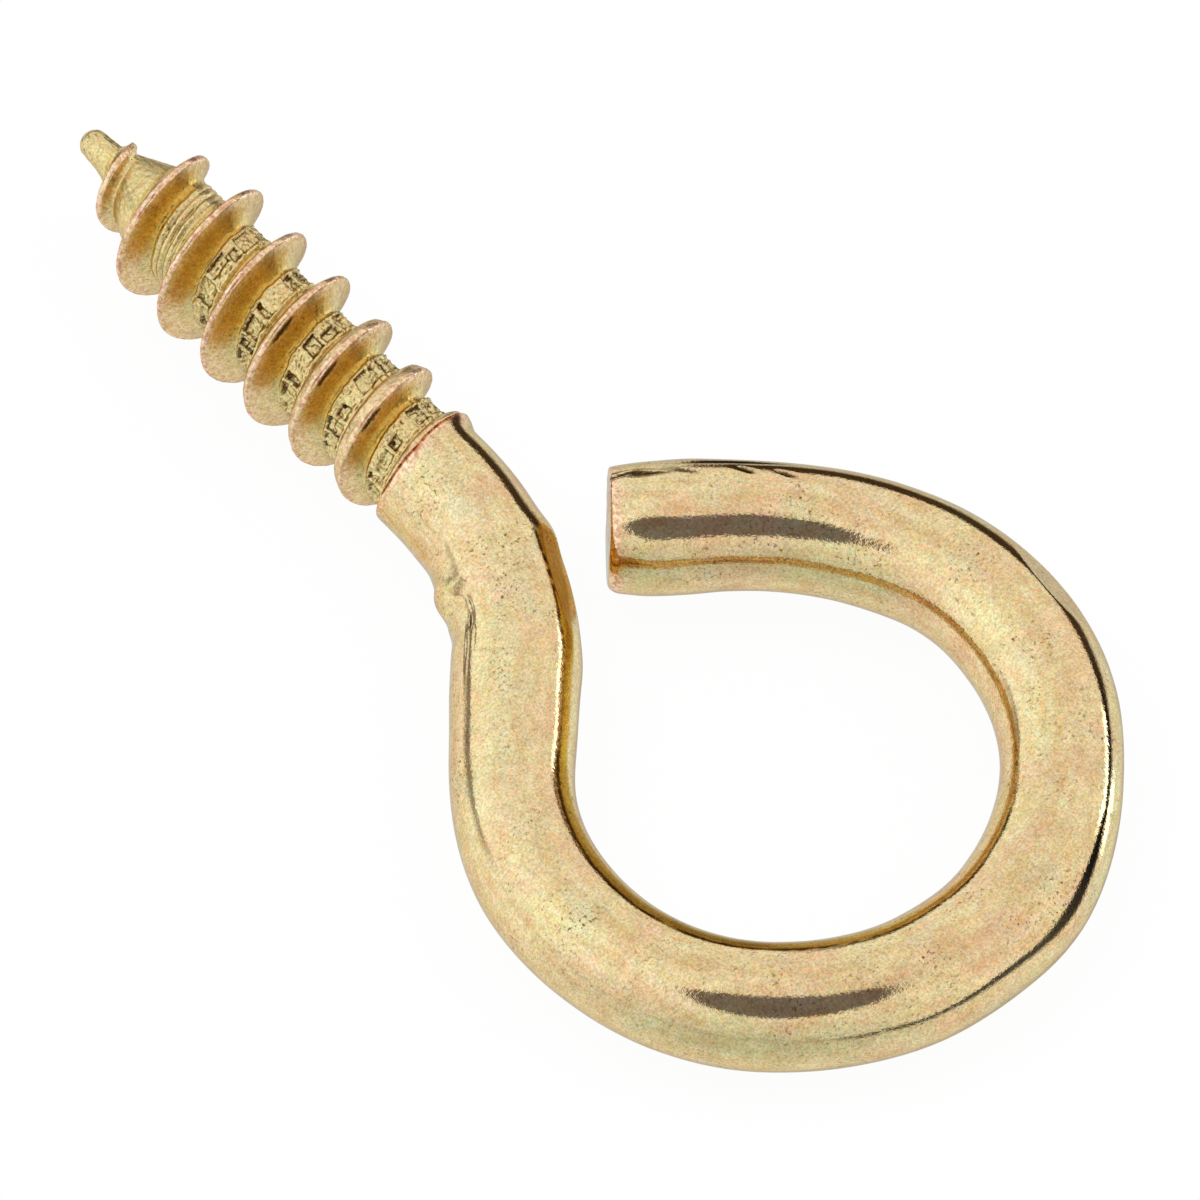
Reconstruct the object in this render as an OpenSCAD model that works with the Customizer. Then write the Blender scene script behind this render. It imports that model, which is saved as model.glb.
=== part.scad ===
// Screw eye: one length of round wire, bent into an open eye with its leg kinked back almost
// onto the centre line of the eye, and rolled at the other end into a wood screw thread with
// a gimlet point. The eye lies in the XY plane with its centre at the origin, the shank runs
// along +Y, and the free arm is on the +X side.

/* [Wire] */
// Diameter of the wire
wire_d = 3.4; // [3:0.1:4.2]
// Rounding left by the shears on the cut end of the free arm
cut_round = 0.3; // [0.1:0.05:0.6]

/* [Eye] */
// Radius of the round of the eye, to the middle of the wire
eye_r = 7.2; // [6:0.1:9]
// How far the round goes past +X before the free arm starts, in degrees
eye_end = 13; // [0:1:25]

/* [Free arm] */
// Radius of the tight bend where the round turns into the arm
shoulder_r = 5; // [4:0.1:7]
// Angle of that bend, in degrees
shoulder_turn = 15; // [5:1:20]
// Radius of the long flat bend of the arm
arm_r = 12.5; // [10:0.5:30]
// Angle of the flat bend, in degrees
arm_turn = 24; // [10:1:28]
// Straight length between the flat bend and the cut end
arm_tail = 2.6; // [0.8:0.1:3]

/* [Leg and shank] */
// Slant of the straight leg away from the shank, in degrees
leg_slant = 44; // [38:1:50]
// Radius of the kink that turns the leg back to the shank, to the middle of the wire
kink_r = 7.8; // [4:0.1:10]
// How far the shank stands to the -X side of the centre of the eye
shank_offset = 1.3; // [0:0.1:2]
// Distance from the centre of the eye to the collar, where the plain wire ends
collar_y = 13.2; // [12.6:0.1:18]
// Rounding of the edge of the collar
collar_round = 0.15; // [0.05:0.05:0.3]

/* [Tool mark] */
// Radius of the bulge that the bending tool raised inside the kink
bulge_r = 0.9; // [0.5:0.1:1.2]
// How far the bulge stands out of the wire
bulge_h = 0.2; // [0.05:0.05:0.3]
// Angle along the kink from the leg to the bulge, in degrees
bulge_at = 22; // [10:1:34]

/* [Thread] */
// Length from the collar to the tip of the point
thread_len = 13.2; // [9:0.1:20]
// Distance between neighbouring turns
pitch = 1.73; // [1.4:0.01:2.2]
// Diameter over the crests of the full thread
crest_d = 4.35; // [4:0.05:4.8]
// Diameter over the last crest beside the collar
crest_end_d = 3.7; // [3.6:0.05:4]
// Length over which the crests come down to that last one
crest_fade = 4.2; // [2:0.1:6]
// Diameter of the core beside the collar
core_d = 2.78; // [2:0.02:2.9]
// Diameter of the core where the point starts
core_tip_d = 2.66; // [1.8:0.02:2.9]
// Width of the top of a crest, along the shank
crest_w = 0.18; // [0.1:0.02:0.3]
// Width of the foot of a crest on the side of the tip
foot_lead = 0.36; // [0.2:0.02:0.4]
// Width of the foot of a crest on the side of the collar
foot_trail = 0.56; // [0.3:0.02:0.7]

/* [Point] */
// Length of the cone between the core and the nib
cone_len = 1.8; // [1.4:0.1:4]
// Length of the thin nib at the tip
nib_len = 1.2; // [0.6:0.1:1.5]
// Diameter of the nib where it leaves the cone
nib_d = 0.88; // [0.6:0.02:1.2]
// Diameter of the rounded end of the nib
nib_tip_d = 0.66; // [0.3:0.02:0.9]
// Distance from the tip to the start of the ridge
ridge_start = 0.9; // [0.6:0.1:1.5]
// Where the ridge starts, round the shank from +X towards -Z, in degrees
ridge_turn = 42; // [0:1:359]
// Length over which the ridge grows to its full height
ridge_grow = 2.7; // [2:0.1:4]

/* [Hidden] */
$fn = 96;

// Straight stretches and the shoulder are thinner than the bends beside them by STEP, and
// run into them by LAP, so that any two pieces of wire meet at one clean edge.
STEP = 0.01;
LAP = 0.15;
bend_wire = wire_d/2;
plain_wire = wire_d/2-STEP;

// Free arm: each bend's centre lies on the line through the last bend's end and centre.
arm_at = eye_end+shoulder_turn;
arm_stop = arm_at+arm_turn;
function spoke(r, a) = [r*cos(a), r*sin(a)];
shoulder_c = spoke(eye_r-shoulder_r, eye_end);
shoulder_lap = LAP/shoulder_r*180/PI;
arm_c = shoulder_c+spoke(shoulder_r-arm_r, arm_at);
arm_end = arm_c+spoke(arm_r, arm_stop);

// Leg: it leaves the round of the eye as a tangent, and the kink is tangent to the leg's
// line and to the shank's.
leg_start = [-eye_r*cos(leg_slant), eye_r*sin(leg_slant)];
leg_to_shank = (eye_r*cos(leg_slant)-shank_offset)/sin(leg_slant);
leg_len = leg_to_shank-kink_r*tan(leg_slant/2);
kink_c = [-shank_offset-kink_r,
          leg_start[1]+leg_to_shank*cos(leg_slant)+kink_r*tan(leg_slant/2)];

// Thread: heights are counted from the collar. The ridge ends inside the plain shank, where
// its crest has run out below the surface of the wire. Its foot is under the core's surface
// by the share FOOT_SINK of the core's radius, and its crest is above it by RIDGE_MIN or more.
FOOT_SINK = 0.2;
RIDGE_MIN = 0.05;
TURN_STEPS = 24;
cone_y = thread_len-nib_len-cone_len;
nib_y = thread_len-nib_len;
ridge_top = thread_len-ridge_start;
ridge_len = ridge_top+foot_trail;
ridge_steps = ceil(ridge_len/pitch*TURN_STEPS);
run_out = 0.4;

// A quarter circle of edge rounding for a turned profile, from the side to the end face.
function rounded(r, y, e) = [for (a = [0:15:90]) [r-e+e*cos(a), y-e+e*sin(a)]];

// Radius of the core at the height y.
function core_at(y) =
    y < cone_y ? core_d/2+(core_tip_d-core_d)/2*y/cone_y
    : y < nib_y ? core_tip_d/2+(nib_d-core_tip_d)/2*(y-cone_y)/cone_len
    : nib_d/2+(nib_tip_d-nib_d)/2*(y-nib_y)/nib_len;

// Radius of the crest at the height y: it grows out of the nib and the cone, stays level,
// comes down a little towards the collar, and runs out under the surface of the shank.
function crest_at(y) =
    let (grown = nib_d/2+(crest_d-nib_d)/2*(ridge_top-y)/ridge_grow,
         faded = (crest_end_d+(crest_d-crest_end_d)*max(0, y-run_out)/crest_fade)/2,
         hidden = (core_d+wire_d)/4,
         last = hidden+(crest_end_d/2-hidden)*(y+foot_trail)/(run_out+foot_trail))
    max(core_at(y)+RIDGE_MIN, min(crest_d/2, grown, faded, last));

// A turned length of wire along +Z, from LAP below its start, with a rounded far edge.
module turned(r, len, e) {
    rotate_extrude() polygon(concat([[0, -LAP], [r, -LAP]], rounded(r, len, e), [[0, len]]));
}

// A bend of wire of radius w about the centre c, from angle a through the angle turn.
module bend(c, r, a, turn, w) {
    translate([c[0], c[1], 0])
        rotate_extrude(angle = turn, start = a) translate([r, 0]) circle(r = w);
}

module eye() {
    bend([0, 0], eye_r, -180-leg_slant, 180+leg_slant+eye_end, bend_wire);
}

module free_arm() {
    bend(shoulder_c, shoulder_r, eye_end-shoulder_lap, shoulder_turn+2*shoulder_lap, plain_wire);
    bend(arm_c, arm_r, arm_at, arm_turn, bend_wire);
    translate([arm_end[0], arm_end[1], 0]) rotate([-90, 0, arm_stop])
        turned(plain_wire, arm_tail, cut_round);
}

module leg() {
    translate([leg_start[0], leg_start[1], 0]) rotate([-90, 0, -leg_slant])
        translate([0, 0, -LAP]) cylinder(r = plain_wire, h = leg_len+2*LAP);
    bend(kink_c, kink_r, -leg_slant, leg_slant, bend_wire);
    translate([-shank_offset, kink_c[1], 0]) rotate([-90, 0, 0])
        turned(plain_wire, collar_y-kink_c[1], collar_round);
}

// The bulge is a ball set into the inner side of the kink.
module tool_bulge() {
    reach = kink_r-bend_wire-bulge_h+bulge_r;
    translate([kink_c[0], kink_c[1], 0]) rotate([0, 0, bulge_at-leg_slant])
        translate([reach, 0, 0]) sphere(r = bulge_r);
}

// The core with its cone and nib, turned about the shank's axis from inside the collar.
module core() {
    rotate_extrude() polygon(concat(
        [[0, -LAP], [core_d/2, -LAP], [core_d/2, 0], [core_tip_d/2, cone_y],
         [nib_d/2, nib_y]],
        rounded(nib_tip_d/2, thread_len, nib_tip_d/2)));
}

// One section of the ridge: foot on the side of the tip, crest, hollow flank, other foot.
function ridge_section(y, a) =
    let (r0 = core_at(y), rc = crest_at(y), grow = (rc-r0)/(crest_d-core_d)*2)
    [for (p = [[r0*(1-FOOT_SINK), foot_lead*grow],
               [rc, crest_w/2],
               [rc, -crest_w/2],
               [r0+(rc-r0)*0.4, -crest_w/2-(foot_trail-crest_w/2)*0.35*grow],
               [r0*(1-FOOT_SINK), -foot_trail*grow]])
        [p[0]*cos(a), p[0]*sin(a), y+p[1]]];

// The ridge is one closed, right-handed sweep of those sections with flat ends.
module ridge() {
    sections = [for (i = [0:ridge_steps])
        let (down = i*ridge_len/ridge_steps)
        ridge_section(ridge_top-down, ridge_turn-360*down/pitch)];
    n = len(sections[0]);
    points = [for (s = sections) for (p = s) p];
    sides = [for (i = [0:ridge_steps-1]) for (j = [0:n-1])
        let (k = (j+1)%n)
        each [[i*n+j, i*n+k, (i+1)*n+k], [i*n+j, (i+1)*n+k, (i+1)*n+j]]];
    first = [for (j = [n-1:-1:0]) j];
    last = [for (j = [0:n-1]) ridge_steps*n+j];
    polyhedron(points, concat(sides, [first, last]));
}

module thread() {
    translate([-shank_offset, collar_y, 0]) rotate([-90, 0, 0]) {
        core();
        ridge();
    }
}

// The whole piece is one solid, coloured as its pale yellow plating.
module screw_eye() {
    color("palegoldenrod") {
        eye();
        free_arm();
        leg();
        tool_bulge();
        thread();
    }
}

screw_eye();
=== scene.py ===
# %% [markdown]
# # A screw eye in yellow-plated steel
#
# A screw eye is one length of steel wire. A bending tool wraps one end into an open eye and
# kinks the leg back towards the middle of the eye. Two flat dies roll the other end into a
# wood screw thread with a gimlet point, and the whole piece is then plated pale yellow.
#
# Nothing on it was joined, so it is built here as one closed mesh. It is made of a few grids
# that share the same number of columns round the wire, so that each grid's last ring is the
# next grid's first ring, and the seams weld shut.

# %% Load the frame
import math

import bmesh
import bpy
import numpy as np
from mathutils import Matrix, Vector


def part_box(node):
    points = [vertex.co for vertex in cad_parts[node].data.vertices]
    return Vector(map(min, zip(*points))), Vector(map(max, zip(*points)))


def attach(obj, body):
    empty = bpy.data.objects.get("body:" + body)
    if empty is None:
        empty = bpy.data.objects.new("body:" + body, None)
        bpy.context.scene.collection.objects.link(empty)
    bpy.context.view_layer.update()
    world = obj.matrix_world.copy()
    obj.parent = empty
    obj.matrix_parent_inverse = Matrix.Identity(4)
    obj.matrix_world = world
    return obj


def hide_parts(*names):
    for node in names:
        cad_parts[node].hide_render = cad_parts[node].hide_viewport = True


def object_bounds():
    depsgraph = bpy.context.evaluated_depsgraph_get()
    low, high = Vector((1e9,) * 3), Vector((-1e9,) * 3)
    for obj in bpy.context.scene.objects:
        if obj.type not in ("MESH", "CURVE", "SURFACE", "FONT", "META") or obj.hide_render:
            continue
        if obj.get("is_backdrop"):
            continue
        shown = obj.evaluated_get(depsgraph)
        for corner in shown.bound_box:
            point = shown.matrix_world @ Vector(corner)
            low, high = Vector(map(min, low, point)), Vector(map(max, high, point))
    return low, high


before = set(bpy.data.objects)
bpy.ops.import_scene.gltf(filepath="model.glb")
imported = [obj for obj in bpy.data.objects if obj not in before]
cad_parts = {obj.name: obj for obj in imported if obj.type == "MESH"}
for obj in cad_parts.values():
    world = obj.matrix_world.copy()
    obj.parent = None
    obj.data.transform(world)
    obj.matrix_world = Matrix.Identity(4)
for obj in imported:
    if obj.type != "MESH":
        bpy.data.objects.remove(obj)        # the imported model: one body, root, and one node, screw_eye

frame_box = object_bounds()
print("pieces in the frame:", sorted(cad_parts))

# %% [markdown]
# ## Sizes
#
# The frame is in metres. Wire sizes are easier to think of in millimetres, so the shapes are
# worked out in millimetres and turned into metres once, when the mesh is made. What the
# frame's box can tell is taken from it, and the rest are the sizes a wire former would set.

# %% Sizes of the wire
MM = 0.001
WIRE_D = 3.4             # wire diameter
CUT_ROUND = 0.24         # rounding that the shears leave on the cut end
THREAD_LEN = 13.2        # from the collar to the tip
SHANK_X = -1.3           # the shank's axis stands this far to the side of the eye's centre
SKIN_ROUGH = 0.006       # the rolled skin is this rough, and has to stay inside the box

high = np.array(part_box("screw_eye")[1]) / MM
wire_r = WIRE_D / 2
eye_r = high[0] - wire_r
crest_r = high[2] - SKIN_ROUGH
tip_y = high[1]
collar_y = tip_y - THREAD_LEN
print(f"eye radius {eye_r:.2f}, crest radius {crest_r:.3f}, collar at {collar_y:.2f} mm")

# %% [markdown]
# ## The line of the wire
#
# A former bends wire in stretches: straight, then a bend of one radius, then straight again.
# So the middle line is a list of lengths and turns. Adding up the turns gives the heading at
# each point, and adding up short steps along the heading gives the place. Blending the
# heading over half a millimetre gives the soft starts and ends that real bends have.

# %% Stretches of the bent wire
ARM_TAIL = 2.6           # straight length at the cut end
ARM_R, ARM_TURN = 12.5, 24.0
SHOULDER_R, SHOULDER_TURN = 5.0, 15.0
EYE_END = 13.0           # how far the round goes past +X, in degrees
LEG_SLANT = 44.0         # lean of the straight leg, in degrees
KINK_R = 7.8
BEND_BLEND = 0.5         # length over which one bend passes into the next
STEP = 0.01              # step of the running sums along the wire


def arc(radius, turn):
    """One bend: its length, which is radius times angle, and its turn in degrees."""
    return radius * math.radians(abs(turn)), turn


slant = math.radians(LEG_SLANT)
leg_to_shank = (eye_r * math.cos(slant) + SHANK_X) / math.sin(slant)
kink_side = KINK_R * math.tan(slant / 2)
kink_end_y = eye_r * math.sin(slant) + leg_to_shank * math.cos(slant) + kink_side
stretches = np.array([
    (ARM_TAIL, 0.0),
    arc(ARM_R, -ARM_TURN),
    arc(SHOULDER_R, -SHOULDER_TURN),
    arc(eye_r, -(180 + LEG_SLANT + EYE_END)),
    (leg_to_shank - kink_side, 0.0),
    arc(KINK_R, LEG_SLANT),
    (collar_y - kink_end_y, 0.0),
])
joints_s = np.r_[0, np.cumsum(stretches[:, 0])]
joints_turn = np.r_[0, np.cumsum(stretches[:, 1])]
collar_s = joints_s[-1]
kink_s = joints_s[5]
print(f"wire from the cut end to the collar: {collar_s:.2f} mm, kink starts at {kink_s:.2f} mm")

# %% [markdown]
# No former is perfect. The round of a real eye is a tenth of a millimetre out here and there,
# and the eye catches that, because the bright lines on the wire swing with it. Each small
# departure is a bell curve: where it is, how long it is, and how far it pushes the line out.

# %% The middle line
HAND_DRIFT = [           # (place along the wire, half length, amount outwards)
    (8.2, 1.2, -0.045),
    (16.8, 2.4, -0.060),
    (26.3, 2.2, -0.085),
    (34.9, 2.2, 0.040),
    (38.6, 1.6, -0.055),
]


def bell(distance, width):
    """A bell curve: 1 at no distance, and about a third at one width."""
    return np.exp(-(distance / width) ** 2)


def smooth_step(x, start, end):
    """0 before start, 1 after end, and an S-curve between them."""
    t = np.clip((x - start) / (end - start), 0, 1)
    return t * t * (3 - 2 * t)


def plateau(x, start, full, leave, end):
    """0, then an S-curve up from start to full, level at 1, and down from leave to end."""
    return smooth_step(x, start, full) * (1 - smooth_step(x, leave, end))


def blend_along(values, length):
    """A running mean over the given length, with the ends held level."""
    half = int(length / STEP / 2)
    window = np.ones(2 * half + 1) / (2 * half + 1)
    return np.convolve(np.pad(values, half, mode="edge"), window, mode="valid")


line_s = np.arange(0, collar_s + STEP / 2, STEP)
turned = np.interp(line_s, joints_s, joints_turn)
heading = np.radians(90 - joints_turn[-1] + blend_along(turned, BEND_BLEND))
steps = np.c_[np.cos(heading), np.sin(heading)] * STEP
line_xy = np.cumsum(steps, axis=0)
line_xy += np.array([SHANK_X, collar_y]) - line_xy[-1]
left = np.c_[-np.sin(heading), np.cos(heading)]
drift = sum(amount * bell(line_s - place, half) for place, half, amount in HAND_DRIFT)
line_xy += left * drift[:, None]
line_dir = np.gradient(line_xy, axis=0)
line_dir /= np.linalg.norm(line_dir, axis=1)[:, None]
print("cut end at", np.round(line_xy[0], 2), "mm")


def on_line(s):
    """Place and direction of the middle line at the length s, which may pass its ends."""
    reach = s - np.clip(s, 0, collar_s)
    place = np.stack([np.interp(s, line_s, line_xy[:, k]) for k in (0, 1)], -1)
    ahead = np.stack([np.interp(s, line_s, line_dir[:, k]) for k in (0, 1)], -1)
    return place + reach[..., None] * ahead, ahead

# %% [markdown]
# ## A point on the skin of the wire
#
# Every point on the skin has two numbers: the length `s` along the wire, and the angle `phi`
# round it. `phi` starts at the inner side of the eye, which is the +X side of the shank, and
# turns up towards +Z. A third number, the radius, holds the wire's shape and all its marks.
#
# The columns of the grid are values of `phi`. They stand closer together on the upper side,
# where the small marks are, so the same number of faces carries finer detail there.

# %% Columns round the wire
COLUMNS = 175            # columns round the wire, the same in every grid
UPPER_TURN = 100         # the side that lies uppermost, which carries most of the marks
UPPER_CLOSER = 1.5       # how much denser the columns are there
UPPER_FADE = (-0.40, 0.30)    # the cosines from that side between which they close up

fine_phi = np.linspace(0, 2 * np.pi, 3601)
density = 1 + UPPER_CLOSER * smooth_step(np.cos(fine_phi - math.radians(UPPER_TURN)), *UPPER_FADE)
counted = np.r_[0, np.cumsum((density[1:] + density[:-1]) / 2)]
column_phi = np.interp(np.linspace(0, counted[-1], COLUMNS + 1), counted, fine_phi)
widths = np.degrees(np.diff(column_phi))
print(f"columns are {widths.min():.2f} to {widths.max():.2f} degrees wide")

# %% From wire numbers to places
def skin(s, phi, radius):
    """Middle line at s, plus radius times (inward normal x cos phi + Z x sin phi)."""
    place, ahead = on_line(s)
    inward = np.stack([ahead[..., 1], -ahead[..., 0]], -1)
    out = place + (radius * np.cos(phi))[..., None] * inward
    return np.concatenate([out, (radius * np.sin(phi))[..., None]], -1)


def angle_from(phi, degrees):
    """Signed angle from the given direction to phi, in radians, by the short way round."""
    return (phi - math.radians(degrees) + np.pi) % (2 * np.pi) - np.pi


def ripple(s, phi, wavelength, amount, seed, waves=28):
    """A random, smooth ripple: a sum of plane waves of about one wavelength, closed in phi."""
    rng = np.random.default_rng(seed)
    lean = rng.uniform(0, np.pi, waves)
    pace = 2 * np.pi / wavelength * rng.uniform(0.6, 1.4, waves)
    rounds = np.round(pace * np.sin(lean) * wire_r)
    shift = rng.uniform(0, 2 * np.pi, waves)
    total = np.zeros(np.broadcast(s, phi).shape)
    for k in range(waves):
        total += np.cos(pace[k] * np.cos(lean[k]) * s + rounds[k] * phi + shift[k])
    return amount * total * math.sqrt(2 / waves)


print("a point on the eye's inner side, in mm:", np.round(skin(np.array(25.0), np.array(0.0), wire_r), 2))

# %% [markdown]
# ## Marks of the tools
#
# Wire that has been cut, wrapped and kinked carries the marks of each step: nicks from the
# jaws, flats where a die pressed, a fold of metal inside the kink. They are small, so they
# are carved as changes of the radius, each by its own short formula.

# %% Shapes of single marks
FLAT_REACH = 1.2         # how far round a flat is looked for, in radians


def around(phi, turn, spread):
    """A bell round the wire: 1 in the direction turn, and about a third at spread radians off."""
    return bell(angle_from(phi, turn), spread)


def spot(s, phi, place, turn, length, spread):
    """A bell along the wire times a bell round it."""
    return bell(s - place, length) * around(phi, turn, spread)


def streak(s, phi, place, turn, length, width, lean=0.0):
    """A bell along times a bell across a line that leans from the wire by lean degrees."""
    a = s - place
    b = wire_r * angle_from(phi, turn)
    c, d = math.cos(math.radians(lean)), math.sin(math.radians(lean))
    return bell(a * c + b * d, length) * bell(b * c - a * d, width)


def flat(s, phi, place, turn, half_length, depth):
    """A facet: a plane across the wire, deepest at its middle and gone at half_length."""
    sink = depth * np.clip(1 - ((s - place) / half_length) ** 2, 0, 1)
    off = np.abs(angle_from(phi, turn))
    plane = (wire_r - sink) / np.cos(np.minimum(off, FLAT_REACH))
    return np.minimum(plane - wire_r, 0) * (off < FLAT_REACH)


flat_span = 2 * math.degrees(math.acos(1 - 0.1 / wire_r))
print(f"a flat 0.1 mm deep spans {flat_span:.0f} degrees of the wire")

# %% [markdown]
# The marks are written as lists, one line to a mark, because that is how one would name them
# on the bench. Each line says where the mark is, how long and wide it is, how deep, how it
# leans, and how dark it looks. That darkness is partly dirt and torn metal kept in a nick, and
# partly painted reflection, as in the long dark streaks along the top of the arm.

# %% Where the wire is fuller or thinner
SWELLS = [               # (place, half length, amount): where the wire is fuller or thinner
    (1.6, 1.6, 0.070),
    (11.8, 1.5, 0.030),
    (16.2, 1.8, -0.100),
    (31.6, 1.8, -0.020),
    (37.8, 1.8, -0.045),
    (41.0, 1.0, 0.020),
]
SIDE_SPREAD = 0.8        # how far round a swell of one side reaches, in radians
SIDE_SWELLS = [          # (place, turn, half length, amount): the same, on one side only
    (10.9, 180, 1.5, -0.021),
    (22.3, 180, 1.3, -0.022),
    (33.6, 180, 1.6, -0.021),
    (2.1, 145, 0.7, 0.025),
    (6.6, 150, 1.8, 0.030),
    (15.6, 180, 1.2, -0.050),
    (20.0, 182, 1.4, 0.105),
    (42.5, 170, 0.45, -0.060),
    (45.5, 170, 0.50, -0.060),
    (0.3, 10, 0.5, -0.050),
    (5.0, 10, 1.2, -0.028),
    (16.2, 5, 1.5, 0.025),
    (21.3, 5, 1.4, -0.033),
    (37.4, 5, 1.5, -0.033),
    (41.6, 5, 0.6, 0.030),
    (44.85, 14, 0.42, 0.085),
]
INNER_SWELL = (22.3, 2.2, 0.05)          # (place, half length, amount) along the inner side
GRIP_SWELL = (16.2, 152, 2.0, 0.6, 0.11) # (place, turn, half length, spread, amount)
print(f"{len(SWELLS)} swells all round and {len(SIDE_SWELLS) + 2} on one side")

# %% Nicks
NICKS = [                # (place, turn, length, width, depth, lean, darkness)
    (0.40, 119.0, 0.34, 0.060, 0.040, 14, 2.00),
    (0.88, 117.0, 0.26, 0.120, 0.045, -4, 2.20),
    (1.30, 116.5, 0.26, 0.070, 0.015, 0, 0.90),
    (2.05, 117.5, 0.36, 0.090, 0.020, -19, 0.90),
    (3.20, 133.0, 1.20, 0.110, 0.030, 3, 1.20),
    (3.55, 119.0, 0.30, 0.080, 0.035, -32, 1.30),
    (4.60, 116.0, 0.30, 0.080, 0.030, -26, 1.10),
    (0.60, 82.0, 0.16, 0.035, 0.010, -20, 0.30),
    (0.75, 96.0, 0.20, 0.030, 0.010, -35, 0.35),
    (8.72, 113.0, 0.10, 0.035, 0.020, 70, 0.45),
    (17.55, 145.0, 0.22, 0.025, 0.030, 100, 0.80),
    (32.95, 148.0, 0.07, 0.040, 0.012, 0, 0.80),
    (33.22, 147.5, 0.08, 0.040, 0.012, 0, 0.90),
    (33.45, 147.5, 0.05, 0.035, 0.012, 0, 0.80),
    (34.72, 141.0, 0.04, 0.040, 0.012, 0, 0.80),
    (35.50, 130.0, 0.22, 0.025, 0.014, 45, 0.25),
    (41.6, 112.5, 0.45, 0.022, 0.012, 0, 0.15),
    (41.8, 116.5, 0.50, 0.022, 0.012, 1, 0.18),
    (41.5, 138.5, 0.80, 0.050, 0.020, 0, 0.60),
    (41.8, 129.5, 0.55, 0.030, 0.010, 0, 0.22),
    (42.35, 134.0, 0.24, 0.060, 0.030, -6, 1.20),
    (42.9, 131.0, 0.30, 0.040, 0.020, 8, 0.50),
    (43.9, 136.0, 0.16, 0.040, 0.014, 60, 0.15),
    (44.05, 143.0, 0.10, 0.040, 0.014, 50, 0.20),
    (44.35, 152.0, 0.12, 0.045, 0.016, 35, 0.25),
    (44.55, 160.0, 0.12, 0.045, 0.030, 60, 0.25),
    (44.15, 166.0, 0.14, 0.040, 0.030, 80, 0.20),
    (43.95, 178.0, 0.14, 0.040, 0.030, 60, 0.25),
    (44.45, 174.0, 0.10, 0.035, 0.025, 20, 0.20),
    (46.4, 148.0, 1.00, 0.035, 0.012, 0, 0.30),
    (46.9, 184.0, 0.70, 0.060, 0.010, 0, 0.30),
    (46.75, 84.0, 0.22, 0.025, 0.010, 0, 0.30),
    (46.60, 92.0, 0.26, 0.025, 0.010, 0, 0.35),
]
print(len(NICKS), "nicks")

# %% Folds and flats
FOLDS = [                # (place, turn, length, width, height, lean): raised lines
    (43.62, 123.0, 0.36, 0.065, 0.045, 62),
    (43.45, 150.0, 0.50, 0.120, 0.060, 68),
    (46.5, 153.0, 0.90, 0.035, 0.013, 0),
    (35.50, 132.0, 0.24, 0.030, 0.012, 45),
]
FACETS = [               # (place, turn, half length, depth)
    (11.45, 143.0, 1.15, 0.100),
    (43.5, 27.0, 1.45, 0.110),
]
BULGE_AT, BULGE_TURN = 44.0, 172
BULGE, CREASE = 0.20, 0.05               # how high the squeezed metal stands, and its crease
END_ROLL, END_ROLL_LEN = 0.165, 1.2      # how far the shears rolled the cut end over
print(f"{len(FOLDS)} folds, {len(FACETS)} flats and one bulge")

# %% [markdown]
# Along the inner edge the wire mirrors the foot of what stands round it. The golden band there
# and its one dark line are painted on the metal as colour, a painted reflection, so they stay
# in place from every side. The paint is faint along the arm and full from the bottom of the eye
# to the kink. Where that band lies is given as a table along the wire, and the places between
# are filled in by straight lines.

# %% The golden inner edge, a painted reflection
INNER_EDGE = [           # (place, turn of the edge, band width, gold, dark line), turns in degrees
    (0.0, 29, 7, 0.08, 0.0),
    (8.0, 33, 7, 0.08, 0.0),
    (14.0, 38, 7, 0.12, 0.0),
    (16.5, 45, 10, 0.25, 0.5),
    (18.5, 52, 11, 0.30, 0.6),
    (20.5, 57, 13, 0.50, 0.6),
    (24.0, 59, 15, 0.75, 0.5),
    (27.0, 58, 17, 1.00, 1.4),
    (32.5, 57.0, 19, 1.10, 1.8),
    (34.5, 53, 19, 1.15, 1.8),
    (37.5, 46, 17, 1.15, 1.5),
    (38.8, 41.5, 12, 1.00, 0.3),
    (41.2, 41.5, 12, 1.00, 0.3),
    (42.2, 47, 18, 1.00, 0.8),
    (43.4, 50.5, 34, 1.00, 1.1),
    (44.6, 51, 34, 0.90, 0.9),
    (45.2, 50, 20, 0.00, 0.0),
    (49.0, 50, 20, 0.00, 0.0),
]
print(f"the inner edge is given at {len(INNER_EDGE)} places")

# %% [markdown]
# Now the marks can be put together. The radius is a sum: the plain wire, its swells and slow
# ripples, the rolled-over end, the marks of the tools, and the crumpled metal in the kink.

# %% The kink and the cut end
FAN_TURN, FAN_LEAN = 150, 66             # where the ridges lie, and how far they lean
FAN_PITCH, FAN_HEIGHT = 0.21, 0.0035
FANNED = (43.9, FAN_TURN, 0.75, 0.70)    # (place, turn, half length, spread) of the ridges
CRUMPLED = (44.1, 158, 0.55, 0.55)       # and of the crumpled metal


def fan(s, phi):
    """Fine ridges that fan out round the kink: a wave across their lean, from -1 to 1."""
    lean = math.radians(FAN_LEAN)
    round_wire = wire_r * angle_from(phi, FAN_TURN)
    across = round_wire * math.cos(lean) - (s - BULGE_AT) * math.sin(lean)
    wave = np.cos(2 * np.pi * across / FAN_PITCH + 2.0 * ripple(s, phi, 0.9, 0.6, seed=14))
    return wave * spot(s, phi, *FANNED)


def kink_metal(s, phi):
    """Inside of the kink: a crumple, the fine ridges, the bulge, and the crease before it."""
    crumple = ripple(s * 2.2, phi, 0.7, 0.008, seed=13, waves=40)
    rise = crumple * spot(s, phi, *CRUMPLED) + FAN_HEIGHT * fan(s, phi)
    rise += BULGE * streak(s, phi, BULGE_AT, BULGE_TURN, 0.50, 0.75)
    return rise - CREASE * streak(s, phi, BULGE_AT - 0.75, BULGE_TURN - 12, 0.16, 0.7)


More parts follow.
